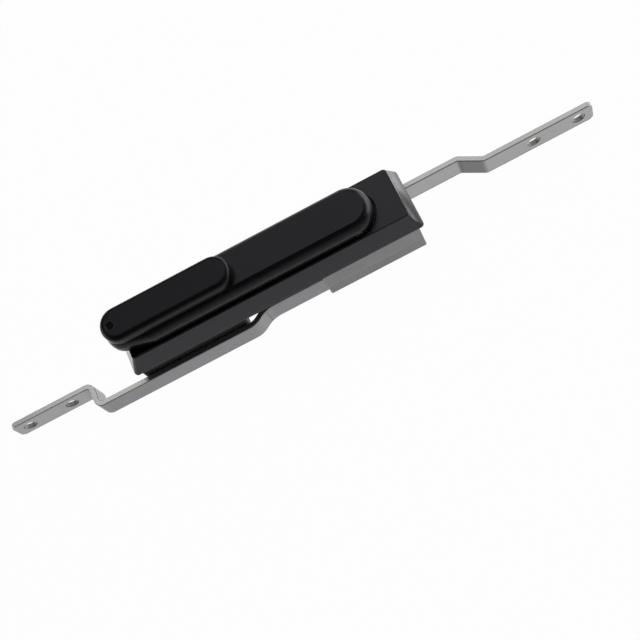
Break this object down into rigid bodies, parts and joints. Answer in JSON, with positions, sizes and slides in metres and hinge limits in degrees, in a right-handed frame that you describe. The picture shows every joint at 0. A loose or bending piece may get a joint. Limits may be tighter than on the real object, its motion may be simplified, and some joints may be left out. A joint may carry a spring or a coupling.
{
  "type": "swing handle lock",
  "caption": "Long swing handle lock: lift-and-turn lever in a dish, swivel cover over its key hole, gearbox behind, and two joggled flat push rods.",
  "frame": {"origin": "on the spindle axis, in the plane of the door panel, which is the back face of the gasket", "axes": "+Z out of the door towards the hand; the handle lies towards -X; the pivot end faces +X; rod A runs on the -Y side"},
  "size_m": [0.3688, 0.0389, 0.0613],
  "materials": {
    "acetal": "natural acetal",
    "bar_steel": "bright zinc plated, brushed along",
    "black_coat": "fine matt powder coat",
    "black_plastic": "moulded, lightly textured",
    "brass": "nickel-free, machined",
    "cast_zinc": "as cast, dull",
    "dark_pin": "blackened",
    "gasket_rubber": "soft foam rubber",
    "pin_steel": "ground",
    "screw_steel": "zinc plated",
    "seal_rubber": "nitrile ring",
    "turned_steel": "turned"
  },
  "bodies": {
    "root": {"dish": "black_coat", "panel_gasket": "gasket_rubber", "spindle_bush": "acetal", "spindle_seal": "seal_rubber", "gearbox_upper": "cast_zinc", "gearbox_lower": "cast_zinc", "gearbox_screws": "screw_steel", "lock_case": "black_plastic", "lock_case_lid": "black_plastic", "lock_case_screws": "screw_steel", "cylinder_body": "brass", "cylinder_nut": "brass", "latch_guide": "black_plastic", "handle_bumper": "seal_rubber"},
    "spindle": {"spindle": "turned_steel", "pinion": "turned_steel", "pinion_washer": "screw_steel", "pinion_screw": "screw_steel", "hinge_pin": "pin_steel", "hinge_washers": "acetal"},
    "handle": {"handle": "black_coat", "handle_liner": "black_plastic", "liner_screws": "screw_steel", "latch_catch": "turned_steel", "catch_rivets": "pin_steel", "cover_pin": "dark_pin", "cover_washer": "acetal"},
    "cover": {"cylinder_cover": "black_coat"},
    "rod_a": {"rod_a": "bar_steel"},
    "rod_b": {"rod_b": "bar_steel"},
    "plug": {"cylinder_plug": "brass", "cylinder_cam": "turned_steel", "cam_screw": "screw_steel"},
    "latch": {"latch_bolt": "turned_steel"}
  },
  "joints": [
    {"name": "handle_turn", "type": "hinge", "parent": "root", "child": "spindle", "pos_m": [0, 0, 0], "axis": [0, 0, 1], "range_deg": [0, 90]},
    {"name": "handle_tilt", "type": "hinge", "parent": "spindle", "child": "handle", "pos_m": [0, 0, 0.0177], "axis": [0, 1, 0], "range_deg": [0, 30]},
    {"name": "cover_swing", "type": "hinge", "parent": "handle", "child": "cover", "pos_m": [-0.1397, 0, 0.029], "axis": [0, 0, -1], "range_deg": [0, 110]},
    {"name": "rod_a_slide", "type": "slide", "parent": "root", "child": "rod_a", "axis": [1, 0, 0], "range_m": [0, 0.01965]},
    {"name": "rod_b_slide", "type": "slide", "parent": "root", "child": "rod_b", "axis": [-1, 0, 0], "range_m": [0, 0.01965]},
    {"name": "key_turn", "type": "hinge", "parent": "root", "child": "plug", "pos_m": [-0.106, 0, 0], "axis": [0, 0, -1], "range_deg": [0, 91]},
    {"name": "latch_slide", "type": "slide", "parent": "root", "child": "latch", "axis": [0.7071, 0, 0.7071], "range_m": [0, 0.006]}
  ],
  "couplings": [
    {"joint": "rod_a_slide", "follows": "handle_turn", "m_per_rad": 0.0125},
    {"joint": "rod_b_slide", "follows": "handle_turn", "m_per_rad": 0.0125},
    {"joint": "key_turn", "follows": "latch_slide", "rad_per_m": 261.8}
  ]
}
